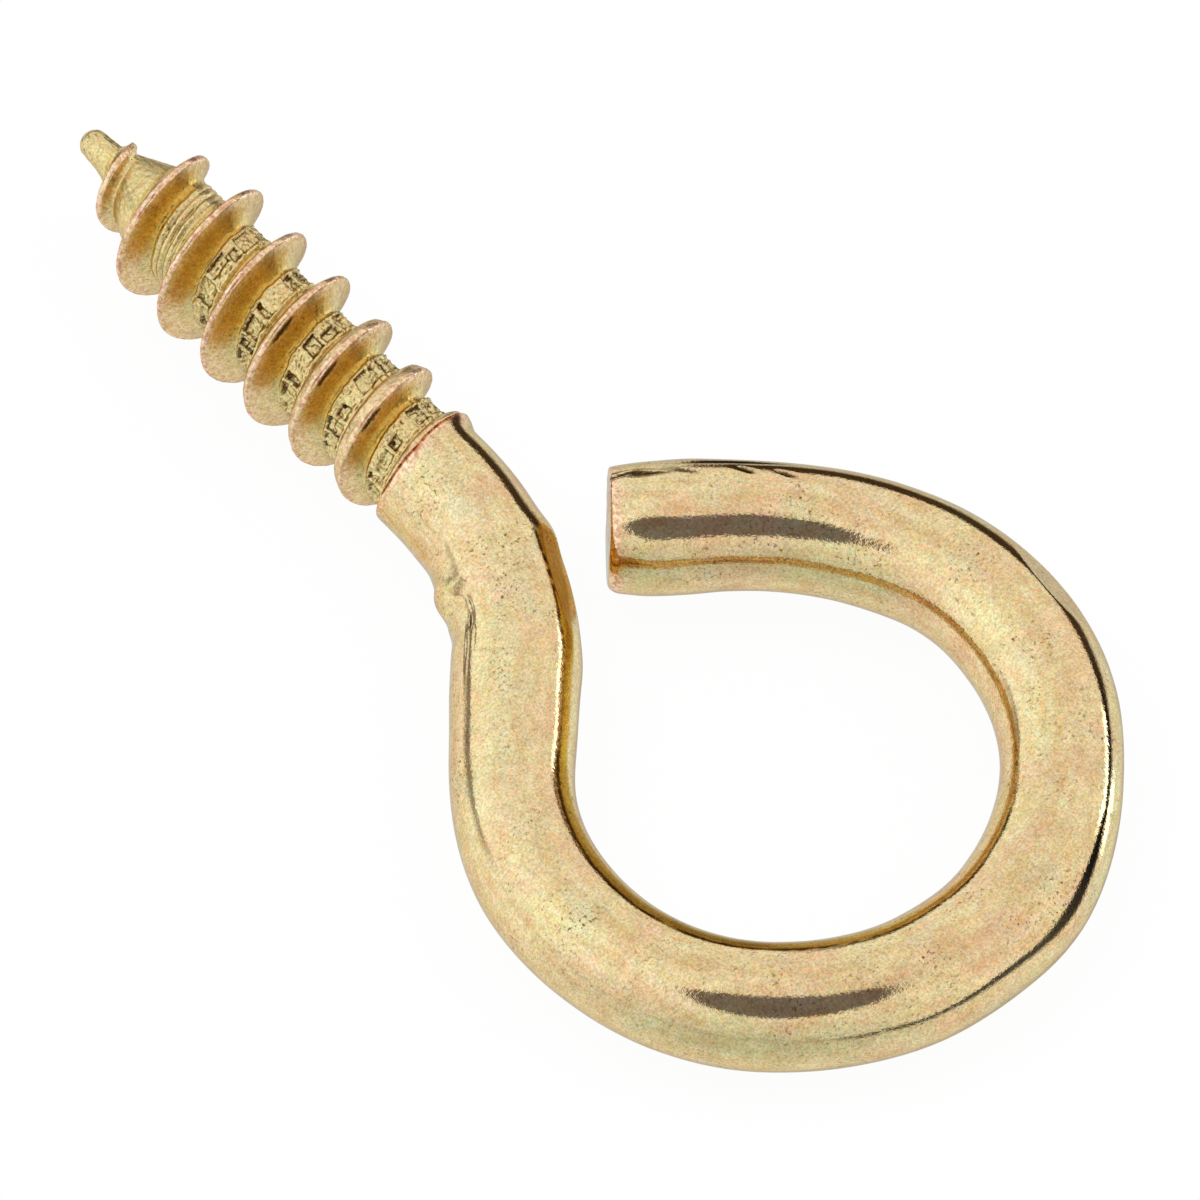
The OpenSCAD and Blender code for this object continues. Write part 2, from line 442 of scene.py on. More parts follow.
def end_roll(s, phi):
    """How far the cut end is rolled over: a parabola along the wire, deepest on one side."""
    fall = np.clip(1 - (s + 0.1) / END_ROLL_LEN, 0, 1.1) ** 2
    return END_ROLL * fall * (0.6 + 0.4 * np.cos(phi - 1.0))


bulge_top = kink_metal(np.array(BULGE_AT), np.radians(BULGE_TURN))
print(f"the kink's metal stands {bulge_top:.2f} mm out on the bulge")

# %% The radius of the wire
WIRE_UNDER = 0.004       # drawn wire comes out this much under its radius


def swells(s, phi):
    """Sum of the swells: a bell along the wire, times a bell round it for those of one side."""
    total = sum(amount * bell(s - place, half) for place, half, amount in SWELLS)
    for place, turn, half, amount in SIDE_SWELLS:
        total = total + amount * spot(s, phi, place, turn, half, SIDE_SPREAD)
    place, half, amount = INNER_SWELL
    total = total + amount * bell(s - place, half) * np.clip(np.cos(phi), 0, 1)
    *where, amount = GRIP_SWELL
    return total + amount * spot(s, phi, *where)


def wire_radius(s, phi):
    """Plain radius, plus swells and ripples, the rolled-over end, the marks and the kink."""
    r = wire_r - WIRE_UNDER + swells(s, phi) - end_roll(s, phi)
    r += ripple(s, phi, 3.2, 0.0030, seed=11) + ripple(s, phi, 1.4, 0.0012, seed=12)
    for facet in FACETS:
        r += flat(s, phi, *facet)
    for place, turn, length, width, depth, lean, _ in NICKS:
        r -= depth * streak(s, phi, place, turn, length, width, lean)
    for place, turn, length, width, height, lean in FOLDS:
        r += height * streak(s, phi, place, turn, length, width, lean)
    return r + kink_metal(s, phi)


along_top = wire_radius(np.linspace(1, collar_s - 1, 1000), np.radians(UPPER_TURN))
print(f"radius along the top: {along_top.min():.3f} to {along_top.max():.3f} mm")

# %% [markdown]
# ## The plain wire, from the cut end to the collar
#
# The rows of the grid follow the wire. They start at one point in the middle of the cut face,
# spread over the face, turn round the sheared edge along a quarter circle, and run along the
# wire. Rows are closer where the marks are small. At the far end the dies pushed the metal
# back into a wavy collar, so the last rows slide along the shank by the height of that wave.

# %% Cut face and rows along the wire
ROW_STEP = 0.30          # distance between rows on plain stretches
ROW_EASE = 0.4           # length over which the rows close up
FINE_ROWS = [            # (from, to, closer by)
    (0.0, 5.2, 3.4),
    (8.4, 9.0, 2.5),
    (10.1, 12.8, 2.6),
    (17.3, 17.8, 3.0),
    (40.8, 45.2, 3.0),
]
FACE_SHARES = (0.0, 0.18, 0.36, 0.54, 0.70, 0.80)
EDGE_STEPS = 7
COLLAR_BODY = 1.2        # the last stretch, whose rows follow the collar's wave


def row_places(start, end):
    """Row places whose spacing is ROW_STEP over a closeness, found by a running sum."""
    fine = np.arange(start, end, STEP)
    closeness = np.ones_like(fine)
    for a, b, times in FINE_ROWS:
        closeness += (times - 1) * plateau(fine, a - ROW_EASE, a, b, b + ROW_EASE)
    count = np.r_[0, np.cumsum(closeness[1:]) * STEP / ROW_STEP]
    total = int(round(count[-1]))
    return np.interp(np.linspace(0, count[-1], total + 1), count, fine)


edge = np.radians(np.linspace(0, 90, EDGE_STEPS))[:, None]
collar_start = collar_s - COLLAR_BODY
side_rows = row_places(CUT_ROUND, collar_start)[1:]
print(f"{len(FACE_SHARES) + len(edge) + len(side_rows)} rows before the collar")

# %% [markdown]
# The shears first squeeze the wire and then tear it. That leaves a bright, smooth crescent
# on one side of the cut face and a grainy torn patch on the other, a hair lower.

# %% The shape of the cut face
CUT_TILT = 0.08          # how far the cut face leans over its radius
CUT_LOW_TURN = -40       # the side that stands out furthest
TORN_DROP = 0.05         # how much lower the torn patch lies
TORN_PHI = 2.4           # where the torn patch is, in radians
BLADE_OUT_ROUND = 0.14   # rounding of the edge where the blade came out


def cut_face_drop(share, phi):
    """How far the cut face sinks into the wire: a lean, a torn lower patch and its grain."""
    torn = smooth_step(share * np.cos(phi - TORN_PHI), -0.25, 0.05)
    grain = ripple(share * 6, phi, 0.8, 0.012, seed=21, waves=40) * smooth_step(share, 0.0, 0.3)
    lean = -0.02 - CUT_TILT * share * np.cos(phi - math.radians(CUT_LOW_TURN))
    return lean + torn * (TORN_DROP + grain) * (1 - share ** 6)


def cut_round(phi):
    """Rounding of the sheared edge: small where the blade came out, large where it went in."""
    return BLADE_OUT_ROUND + (CUT_ROUND - BLADE_OUT_ROUND) * (0.5 + 0.5 * np.cos(phi + 0.5))


phi_row = column_phi[None, :]
rounds = cut_round(phi_row)
print(f"the sheared edge is rounded by {rounds.min():.2f} to {rounds.max():.2f} mm")

# %% The grid of the plain wire
FACE_INSIDE = 0.1        # the flat of the face is measured to this far inside the wire's skin

face_share = np.array(FACE_SHARES)[:, None]
edge_s = rounds * (1 - np.cos(edge))
edge_inset = rounds * (1 - np.sin(edge))
edge_share = (wire_r - edge_inset) / wire_r
face_grid_s = cut_face_drop(face_share, phi_row)
face_grid_r = face_share * (wire_radius(np.zeros((1, 1)), phi_row) - FACE_INSIDE)
edge_grid_s = edge_s + cut_face_drop(edge_share, phi_row) * np.cos(edge)
edge_grid_r = wire_radius(edge_grid_s, phi_row) - edge_inset
side_grid_s = np.repeat(side_rows[:, None], COLUMNS + 1, axis=1)
side_grid_r = wire_radius(side_grid_s, phi_row)
wire_s = np.concatenate([face_grid_s, edge_grid_s, side_grid_s])
wire_radii = np.concatenate([face_grid_r, edge_grid_r, side_grid_r])
print("plain wire grid:", wire_s.shape)

# %% [markdown]
# ## The rolled thread
#
# A rolled wood screw thread isn't cut. Two dies with slanting grooves squeeze the wire
# between them, and the metal that is pushed out of the root rises into a thin blade. So the
# root is thinner than the wire and the blade is wider, the side of the blade that faces the
# eye is hollow, and the root keeps the prints of the dies.
#
# Heights are counted from the collar towards the tip. A crest winds down the right-handed
# helix: one turn back round `phi` for each pitch of height.

# %% Sizes of the thread
PITCH = 1.73
CREST_AT = 12.10         # height of the first crest at phi = 0
CORE_R, CORE_TIP_R = 1.39, 1.33
CONE_LEN, NIB_LEN = 1.8, 1.2
NIB_R, NIB_TIP_R = 0.48, 0.35
RIDGE_START = 0.9        # distance from the tip to the start of the ridge
RIDGE_GROW = 3.4         # length over which it grows to its full height
CREST_END_R = 1.85       # radius of the last crest, beside the collar
CREST_FADE = 4.2         # length over which the crests come down to that
CREST_HALF = 0.09        # half the width of the top of a crest
cone_h = THREAD_LEN - NIB_LEN - CONE_LEN
nib_h = THREAD_LEN - NIB_LEN
print(f"the cone starts {cone_h:.1f} mm and the nib {nib_h:.1f} mm from the collar")

# %% Core, crest and helix
CORNER_BLEND = 0.6       # length over which the core's corners are softened


def core_radius(h):
    """Core radius: nearly level, then the cone, then the nib, with softened corners."""
    fine = np.arange(-1, THREAD_LEN + 1, STEP)
    plain = np.interp(fine, [0, cone_h, nib_h, THREAD_LEN], [CORE_R, CORE_TIP_R, NIB_R, NIB_TIP_R])
    return np.interp(h, fine, blend_along(plain, CORNER_BLEND))


def crest_radius(h):
    """Crest radius: it grows quickly out of the nib, stays level, and sinks to the collar."""
    grown = np.clip((THREAD_LEN - RIDGE_START - h) / RIDGE_GROW, 0, 1)
    rise = NIB_R + (crest_r - NIB_R) * (1 - (1 - grown) ** 1.7)
    sunk = np.clip((CREST_FADE - h) / CREST_FADE, 0, 1)
    return rise - (crest_r - CREST_END_R) * sunk ** 1.2


def turns(h, phi):
    """How many turns up from the first crest a point is: whole numbers lie on a crest."""
    return (h - CREST_AT) / PITCH + phi / (2 * np.pi)


print(f"a full blade stands {crest_r - CORE_R:.2f} mm above the core")

# %% [markdown]
# The section of the blade has three parts: a narrow top, a steep side towards the tip, and
# a hollow side towards the eye. Beside the collar the dies run out, so the last blades are
# lower and broader: their top slopes off towards the tip, and the metal has folded over on
# the other side and left a thin dark gap.

# %% Section of the blade
LEAD_FOOT, TRAIL_FOOT = 0.30, 0.44
SHOULDER = 0.27          # extra width of the sloping top on the last blade
LAP_TURN = 110           # where the fold gaps lie
LAP_BACK, LAP_WIDTH = 0.038, 0.026       # how far behind the crest's top, and how wide


def nearest_crest(h, phi):
    """Distance along the axis from the nearest crest, and the height of that crest."""
    along = turns(h, phi)
    x = (along - np.round(along)) * PITCH
    return x, h - x


def broadness(at_crest):
    """0 on the first blades and 1 on the last one, beside the collar."""
    return smooth_step(-at_crest, -6.2, -0.9)


def blade(h, phi):
    """Height of the blade over the core, from 0 to the crest, by distance from its crest."""
    x, at_crest = nearest_crest(h, phi)
    tall = np.maximum(crest_radius(at_crest) - core_radius(h), 0)
    grow = np.clip(tall / (crest_r - CORE_R), 0, 1) ** 0.7
    broad = broadness(at_crest)
    shoulder = SHOULDER * broad + 1e-3
    slope = np.clip((x - CREST_HALF) / shoulder, 0, 1)
    foot = LEAD_FOOT * grow * (1 - 0.5 * broad) + 1e-3
    lead = np.clip((x - CREST_HALF - shoulder) / foot, 0, 1)
    trail = np.clip((-x - CREST_HALF) / (TRAIL_FOOT * grow + 1e-3), 0, 1)
    lead_side = (1 - 0.20 * broad * slope) * (1 - lead) ** (1.5 - 0.6 * broad)
    trail_side = (1 - trail) ** 1.75
    top = 1 - 0.05 * (np.minimum(np.abs(x), CREST_HALF) / CREST_HALF) ** 2
    return tall * np.where(x > 0, lead_side, trail_side) * top


def lap_gap(h, phi):
    """The fold gap: a thin line just behind the crest, on one part of the last three turns."""
    x, at_crest = nearest_crest(h, phi)
    there = around(phi, LAP_TURN, 0.20) * smooth_step(-at_crest, -6.6, -5.4)
    return bell(x + CREST_HALF + LAP_BACK, LAP_WIDTH) * there


heights = np.linspace(0, THREAD_LEN, 2000)
print(f"tallest blade at phi = 0: {blade(heights, 0.0).max():.2f} mm")

# %% [markdown]
# The dies leave a ladder of shallow pockets in the root, between two thin rails, and each
# pocket is a little different. They are laid out along the helix as a running sum of random
# lengths, so that any point can look up its own pocket, and a fixed seed keeps them the same.
# A slow ripple bends the borders, because pressed metal never runs quite straight.

# %% The pockets, drawn once
RAIL_LOW, RAIL_HIGH = 0.50, 1.20      # the strip between the blades, from the crest below
POCKETS = 220
rng = np.random.default_rng(7)
pocket_len = rng.choice([0.22, 0.30, 0.38, 0.52], POCKETS) * rng.uniform(0.85, 1.15, POCKETS)
pocket_start = np.r_[0, np.cumsum(pocket_len)]
pocket_land = rng.uniform(0.07, 0.13, POCKETS)
pocket_depth = rng.uniform(0.090, 0.150, POCKETS) * (rng.random(POCKETS) > 0.12)
pocket_low = RAIL_LOW + 0.13 + rng.uniform(0, 0.05, POCKETS) + 0.17 * (rng.random(POCKETS) > 0.8)
pocket_high = RAIL_HIGH - 0.08 - rng.uniform(0, 0.05, POCKETS) - 0.15 * (rng.random(POCKETS) > 0.8)
line_high = rng.uniform(0.3, 1.0, POCKETS)
line_low = rng.uniform(0.0, 0.7, POCKETS)
line_start = rng.uniform(0.2, 1.0, POCKETS)
line_end = rng.uniform(0.0, 0.9, POCKETS)
hole_at = rng.uniform(0.05, 0.95, POCKETS)
hole_share = rng.uniform(0.3, 1.0, POCKETS) * (rng.random(POCKETS) > 0.45)
print(f"{POCKETS} pockets reach {pocket_start[-1] / (2 * np.pi):.1f} turns along the helix")


def soft_box(x, start, end, soft):
    """1 between start and end and 0 outside, with S-curved edges of the given softness."""
    half = soft / 2
    return plateau(x, start - half, start + half, end - half, end + half)

# %% [markdown]
# The ladder only begins on the third turn from the point. The dies left a few plain grooves
# on the turn before it, and the first turns are smooth.

# %% Prints of the dies in the root
GROOVES = ((1.03, 0.06), (0.80, 0.12), (0.60, 0.06))   # (distance from the crest, depth)
GROOVE_TURNS = (1.70, 1.95)              # turns from the point over which the grooves come in
LADDER_TURNS = (2.70, 2.85)              # and over which the ladder takes over
STRIP_RISE, RAIL_RISE = 0.055, 0.035     # how high the lands and the rails stand
HOLE_DEPTH = 0.09
# Painted shade along the pockets' edges, in the holes and in the plain grooves.
LINE_DARK, HOLE_DARK, GROOVE_DARK = 1.05, 1.4, 0.5


def root_prints(h, phi):
    """Change of the root's radius, its lines' painted shade, and where a pocket's floor is."""
    along = turns(h, phi)
    bend = ripple(h * 1.3, phi, 1.0, 0.012, seed=31)
    v = (along - np.floor(along)) * PITCH + bend
    wound = phi - 2 * np.pi * np.floor(along) + 0.9 * ripple(h * 1.7, phi, 1.3, 0.014, seed=32)
    which = np.clip(np.searchsorted(pocket_start, wound) - 1, 0, POCKETS - 1)
    local = wound - pocket_start[which]
    end = pocket_len[which] - pocket_land[which]
    inside = soft_box(local, 0, end, 0.060)
    hollow = inside * soft_box(v, pocket_low[which], pocket_high[which], 0.060)
    crosswise = soft_box(v, pocket_low[which] - 0.02, pocket_high[which] + 0.02, 0.04)
    lengthwise = soft_box(local, -0.02, end + 0.02, 0.04)
    lines = line_high[which] * bell(v - pocket_high[which], 0.030) * lengthwise
    lines += line_low[which] * bell(v - pocket_low[which], 0.028) * lengthwise
    lines += line_start[which] * bell(local, 0.024) * crosswise
    lines += line_end[which] * bell(local - end, 0.022) * crosswise
    lines *= pocket_depth[which] > 0
    hole = bell(local - hole_at[which] * end, 0.035) * bell(v - pocket_high[which] + 0.04, 0.045)
    hole = hole * hole_share[which]
    strip = soft_box(v, RAIL_LOW, RAIL_HIGH, 0.06)
    rails = bell(v - RAIL_LOW - 0.06, 0.05) + bell(v - RAIL_HIGH + 0.045, 0.035)
    pebble = ripple(h * 1.2, phi, 0.22, 0.0150, seed=33, waves=40)
    pressed = pocket_depth[which] * hollow + HOLE_DEPTH * hole
    ladder = strip * (STRIP_RISE + pebble) + RAIL_RISE * rails - pressed
    grooves = sum(-depth * bell(v - place, 0.034) for place, depth in GROOVES) + 0.03 * strip
    groove_lines = sum(bell(v - place, 0.026) for place, _ in GROOVES)
    turn_no = wound / (2 * np.pi)
    laddered = smooth_step(turn_no, *LADDER_TURNS)
    grooved = smooth_step(turn_no, *GROOVE_TURNS) * (1 - laddered)
    change = laddered * ladder + grooved * grooves
    dark = laddered * np.maximum(lines * LINE_DARK, hole * HOLE_DARK)
    dark += grooved * GROOVE_DARK * groove_lines
    return change, dark, laddered * hollow * (pocket_depth[which] > 0)


deepest = root_prints(heights, 0.0)[0].min()
print(f"the deepest print at phi = 0: {-deepest:.2f} mm")

# %% The radius of the thread
LAP_DEPTH = 0.07


def uncovered(rise):
    """1 where the root lies open, and 0 where the blade stands on it."""
    return 1 - smooth_step(rise, 0.05, 0.25)


def thread_radius(h, phi):
    """Core, plus the blade, plus the prints where the blade doesn't cover them."""
    rise = blade(h, phi)
    rough = ripple(h, phi, 0.30, 0.0035, seed=34, waves=40)
    change, _, _ = root_prints(h, phi)
    smooth = core_radius(h) + rise + change * uncovered(rise)
    return smooth + rough - LAP_DEPTH * lap_gap(h, phi)


print(f"root and blades at phi = 0: {thread_radius(heights, 0.0).min():.2f} mm and up")

# %% [markdown]
# A grid with level rows would cut across the blades, and their edges would come out as
# saw teeth. Here the rows lean with the helix instead: each row drops by one pitch on its
# way round, so that it runs along a crest or a root all the way. Rows that would pass the
# collar or the nib are held there, and the welding takes away what they have in common.

# %% Rows of the thread
BURR_TURN = 20           # the ridge runs into the collar here and lifts a burr
COLLAR_LEVEL = -0.25     # the middle height of the collar's edge
NIB_FROM = 12.35         # height where the nib's own grid takes over, just past the ridge


def rows_in_a_pitch():
    """Row distances from a crest, over one pitch: close on the blade and in the strip."""
    blade_top = np.linspace(-CREST_HALF, CREST_HALF, 5)
    lead_side = CREST_HALF + LEAD_FOOT * np.array([0.22, 0.45, 0.72, 1.0, 1.22])
    strip = np.linspace(RAIL_LOW + 0.01, RAIL_HIGH + 0.02, 19)
    trail_shares = np.array([0.80, 0.60, 0.42, 0.26, 0.15, 0.075, 0.03])
    trail_side = PITCH - CREST_HALF - TRAIL_FOOT * trail_shares
    return np.concatenate([blade_top, lead_side, strip, trail_side])


def collar_height(phi):
    """The wavy edge of the collar: a level, one wave round the shank, and two waves round."""
    t = angle_from(phi, BURR_TURN)
    ragged = ripple(phi * 0.0, phi, 0.8, 0.012, seed=35)
    return COLLAR_LEVEL + 0.17 * np.cos(t) + 0.10 * np.cos(2 * t) + ragged


pitch_rows = rows_in_a_pitch()
whole_turns = np.arange(-9, 3)
row_heights = (CREST_AT + whole_turns[:, None] * PITCH + pitch_rows[None, :]).ravel()
row_heights = row_heights[(row_heights > -0.6) & (row_heights < NIB_FROM + PITCH + 0.12)]
leaning = row_heights[:, None] - PITCH * phi_row / (2 * np.pi)
thread_h = np.clip(leaning, collar_height(phi_row), NIB_FROM)
thread_radii = thread_radius(thread_h, phi_row)
print(f"{len(pitch_rows)} rows in a pitch, thread grid {thread_h.shape}")

# %% The collar
BURR_RISE, BURR_SPREAD = 0.17, 0.42
COLLAR_ROUND = 0.05      # rounding of the collar's edge
COLLAR_ROWS, COLLAR_EDGE_STEPS = 9, 6
COLLAR_FACE = (0.25, 0.5, 0.75, 1.0)

wave = collar_height(phi_row)
along_collar = np.linspace(0, 1, COLLAR_ROWS)[1:, None]
collar_body_s = collar_start + along_collar * (collar_s - COLLAR_ROUND - collar_start + wave)
burr = BURR_RISE * around(phi_row, BURR_TURN, BURR_SPREAD)
collar_body_r = wire_radius(collar_body_s, phi_row) + burr * smooth_step(along_collar, 0.60, 1.0)
turn_in = np.radians(np.linspace(0, 90, COLLAR_EDGE_STEPS))[1:, None]
collar_edge_s = collar_s - COLLAR_ROUND + wave + COLLAR_ROUND * np.sin(turn_in)
collar_edge_r = collar_body_r[-1:] - COLLAR_ROUND * (1 - np.cos(turn_in))
share = np.array(COLLAR_FACE)[:, None]
collar_face_s = collar_s + wave + np.zeros_like(share)
collar_face_r = collar_edge_r[-1:] + (thread_radius(wave, phi_row) - collar_edge_r[-1:]) * share
print(f"the collar waves between {wave.min():.2f} and {wave.max():.2f} mm")

# %% The nib, with the grain of the pinched-off end
NIB_ROWS, NIB_CAP_ROWS = 11, 9

nib_rows = np.linspace(NIB_FROM, THREAD_LEN - NIB_TIP_R, NIB_ROWS)
nib_side_r = core_radius(nib_rows)
nib_cap = np.radians(np.linspace(0, 90, NIB_CAP_ROWS))[1:]
nib_h_all = np.r_[nib_rows, THREAD_LEN - NIB_TIP_R + NIB_TIP_R * np.sin(nib_cap)]
nib_r_all = np.r_[nib_side_r, nib_side_r[-1] * np.cos(nib_cap)]
nib_grid_s = collar_s + np.repeat(nib_h_all[:, None], COLUMNS + 1, axis=1)
nib_grid_r = np.repeat(nib_r_all[:, None], COLUMNS + 1, axis=1)
beyond = nib_grid_s - collar_s
nib_grain = ripple(beyond * 3.0, phi_row, 1.0, 0.010, seed=36, waves=40)
nib_grid_r += nib_grain * smooth_step(beyond, NIB_FROM, NIB_FROM + 0.2) * (nib_grid_r / NIB_R)
nib_grid_r[0] = thread_radius(np.full_like(phi_row, NIB_FROM), phi_row)[0]
print("nib rows:", len(nib_h_all))

# %% [markdown]
# ## One mesh
#
# The grids go into one list of points. A face joins four neighbours of a grid, in the order
# that makes it face outwards. Then points that lie on each other are welded: the two sides of
# the seam, the rings that two grids share, the middle of the cut face and the tip.

# %% Join the grids
def grid_faces(rows, columns, first):
    """Four corners of each cell: along the wire first, then round it, so it faces outwards."""
    index = first + np.arange(rows * columns).reshape(rows, columns)
    corners = [index[:-1, :-1], index[1:, :-1], index[1:, 1:], index[:-1, 1:]]
    return np.stack([c.ravel() for c in corners], -1)


collar_grid_s = np.concatenate([side_grid_s[-1:], collar_body_s, collar_edge_s, collar_face_s])
collar_grid_r = np.concatenate([side_grid_r[-1:], collar_body_r, collar_edge_r, collar_face_r])
grids = [
    (wire_s, wire_radii),
    (collar_grid_s, collar_grid_r),
    (collar_s + thread_h, thread_radii),
    (nib_grid_s, nib_grid_r),
]
points, faces, count = [], [], 0
for grid_s, grid_r in grids:
    phi = np.broadcast_to(phi_row, grid_s.shape)
    points.append(skin(grid_s, phi, grid_r).reshape(-1, 3))
    faces.append(grid_faces(*grid_s.shape, count))
    count += grid_s.size
points = np.concatenate(points)
faces = np.concatenate(faces)
print(f"{len(points)} points, {len(faces)} faces before welding")

# %% [markdown]
# The finish needs to know where it is, so each point carries five small numbers: `worn` on
# crests and rims, where the plating is thin, `rolled` on the thread, which is duller than drawn
# wire, `gold`, a painted reflection along the inner edge, on the cut end and on the hollow sides
# of the blades, `dark` for dirt in nicks and for painted shade and painted reflection in nicks,
# gaps, prints, ridges and edges, and `rosy` in the long, faint streaks that drawing leaves along
# the wire, with a painted shade band along its crown and a painted sheen on one side.

# %% Numbers for the inner edge
# Painted reflection: dark spots that break the leg's bright line into beads.
BEADS = 0.34             # how dark the ground is that breaks the leg's bright line into beads
BEADED = (36.5, 38.0, 41.5, 43.0)        # where along the leg that ground fades in and out


def inner_band(s, phi):
    """Painted reflection along the inner edge, by place: a soft gold band, a thin dark line, beads."""
    places, turns_at, widths_at, golds, lines = np.array(INNER_EDGE).T
    off = np.degrees(angle_from(phi, 0)) - np.interp(s, places, turns_at)
    width = np.interp(s, places, widths_at)
    band = plateau(off, -width - 3, -width + 3, -1.5, 1.5)
    uneven = 0.85 + ripple(s, phi, 0.32, 0.45, seed=41, waves=24)
    line = bell(off, 1.9) * np.interp(s, places, lines) * np.clip(uneven, 0.15, 1.3)
    beads = BEADS * bell(off - 3.5, 4.0) * plateau(s, *BEADED)
    return band * np.interp(s, places, golds), line + beads


leg_gold, _ = inner_band(np.array(36.0), np.radians(40))
print(f"gold on the leg's inner side: {leg_gold:.2f}")

# %% Numbers for the wire
FOLD_SHINE = 0.07        # width of the worn line along the first fold
WEDGE = (0.05, 24, 0.32, 0.22)           # (place, turn, half length, spread): gold on the cut end
DULLED = (44.2, 160, 0.8, 0.6)           # the same: the dull metal in the kink
ROSY_LEVEL = 0.30


def wire_numbers(s, phi, r):
    """Worn on the cut end, dark nicks and painted shade, gold as painted reflection, rosy streaks."""
    place, turn, length, _, _, lean = FOLDS[0]
    fold = streak(s, phi, place, turn, length, FOLD_SHINE, lean)
    rim = bell(s - 0.10, 0.22) * smooth_step(r, wire_r * 0.70, wire_r * 0.90)
    sunk = -flat(s, phi, *FACETS[0])
    facet = smooth_step(sunk, 0.0, 0.045)
    # Painted shade: a dark line along the facet's upper edge.
    outline = bell(sunk - 0.011, 0.007) * (1 - smooth_step(angle_from(phi, 141), -0.12, 0.0))
    worn = np.clip(rim + 0.8 * fold + 0.30 * facet, 0, 1)

    band, painted_edge_line = inner_band(s, phi)
    matt = smooth_step(band, 0.5, 0.9) * smooth_step(s, 22, 26)
    rolled = np.clip(0.5 * spot(s, phi, *DULLED) + 0.5 * facet + 0.8 * matt, 0, 1)
    warm = around(phi, 168, 0.16) * smooth_step(s, 45.0, 45.8)
    # Painted reflection: the gold band of the inner edge and the gold wedge on the cut end.
    golden = np.clip(band + spot(s, phi, *WEDGE), 0, 1)
    gold = np.clip(golden + 0.35 * warm, 0, 1)

    # The nicks' darkness is partly dirt and partly painted reflection. The inner edge's dark line and
    # beads, its deepest gold and the gold itself add painted reflection.
    dark = sum(amount * streak(s, phi, place, turn, length, width * 0.9, lean)
               for place, turn, length, width, _, lean, amount in NICKS)
    dark = np.maximum(dark, painted_edge_line) + np.clip(band - 1.0, 0, 1) + 0.10 * golden
    # The facet is darker, and painted shade lines the facet's upper edge and the troughs between the
    # kink's fine ridges.
    dark += 0.16 * facet + 0.50 * outline + 0.14 * np.clip(-fan(s, phi), 0, 1)

    streaks = ROSY_LEVEL + ripple(s * 0.25, phi, 0.45, 0.26, seed=51)
    # Painted shade: a rosier, darker band along the crown of the arm and eye. Painted sheen: a lighter
    # band on one side of the leg and shank.
    crown = around(phi, 89, 0.13) * plateau(s, 1, 4, 31, 38)
    side = around(phi, 101, 0.12) * smooth_step(s, 33, 37)
    rosy = np.clip(streaks + 0.50 * crown - 0.40 * side, 0, 1)
    return worn, rolled, gold, np.clip(dark, 0, 1), rosy


end_worn = wire_numbers(np.array(0.1), np.radians(UPPER_TURN), wire_r)[0]
print(f"worn on the cut end's rim: {end_worn:.2f}")

# %% Numbers for the thread
# Painted reflection: the blades' hollow sides and grooves are painted gold, most round this direction.
GOLD_REFLECTION_TURN = 104          # the plating is deepest gold round this direction
FLANK_WEAR = 0.42        # how worn the blade's sides are


def thread_numbers(h, phi):
    """Worn tops; painted reflection gold down the hollow side; painted shade in prints, gaps, tops."""
    rise = blade(h, phi)
    x, at_crest = nearest_crest(h, phi)
    tall = np.maximum(crest_radius(at_crest) - core_radius(h), 1e-3)
    share = rise / tall
    broad = broadness(at_crest)
    narrow_top = smooth_step(share, 0.84, 0.97)
    back_edge = bell(x + CREST_HALF * 0.6, 0.10)
    worn = (narrow_top * (1 - broad) + back_edge * broad) * smooth_step(tall, 0.1, 0.4)
    worn = np.maximum(worn, FLANK_WEAR * smooth_step(share, 0.15, 0.50))
    hollow_side = plateau(-x, CREST_HALF + 0.02, CREST_HALF + 0.10, 0.50, 0.60)
    groove = bell(x - 0.45, 0.05) * smooth_step(tall, 0.3, 0.6)
    facing = smooth_step(np.cos(angle_from(phi, GOLD_REFLECTION_TURN)), 0.35, 0.85)
    gold = np.clip(0.86 * hollow_side * facing + 0.7 * groove, 0, 1) * smooth_step(tall, 0.15, 0.5)
    _, lines, floor_share = root_prints(h, phi)
    # Painted shade: one side of the blades' tops, the prints' lines and pocket floors, and the fold gaps.
    shade = 0.24 * around(phi, 8, 0.45) * narrow_top
    prints = uncovered(rise) * (lines + 0.12 * floor_share)
    dark = np.clip(prints + 1.8 * lap_gap(h, phi) + shade, 0, 1)
    return worn, np.ones_like(worn), gold, dark, np.full_like(worn, ROSY_LEVEL)


top_worn = thread_numbers(heights, np.radians(GOLD_REFLECTION_TURN))[0].max()
print(f"worn on the blades' tops: {top_worn:.2f}")

# %% The numbers on every grid
NUMBER_NAMES = ("worn", "rolled", "gold", "dark", "rosy")
WIRE_GRIDS, COLLAR_GRID = 2, 1           # the first two grids are wire, and one is the collar

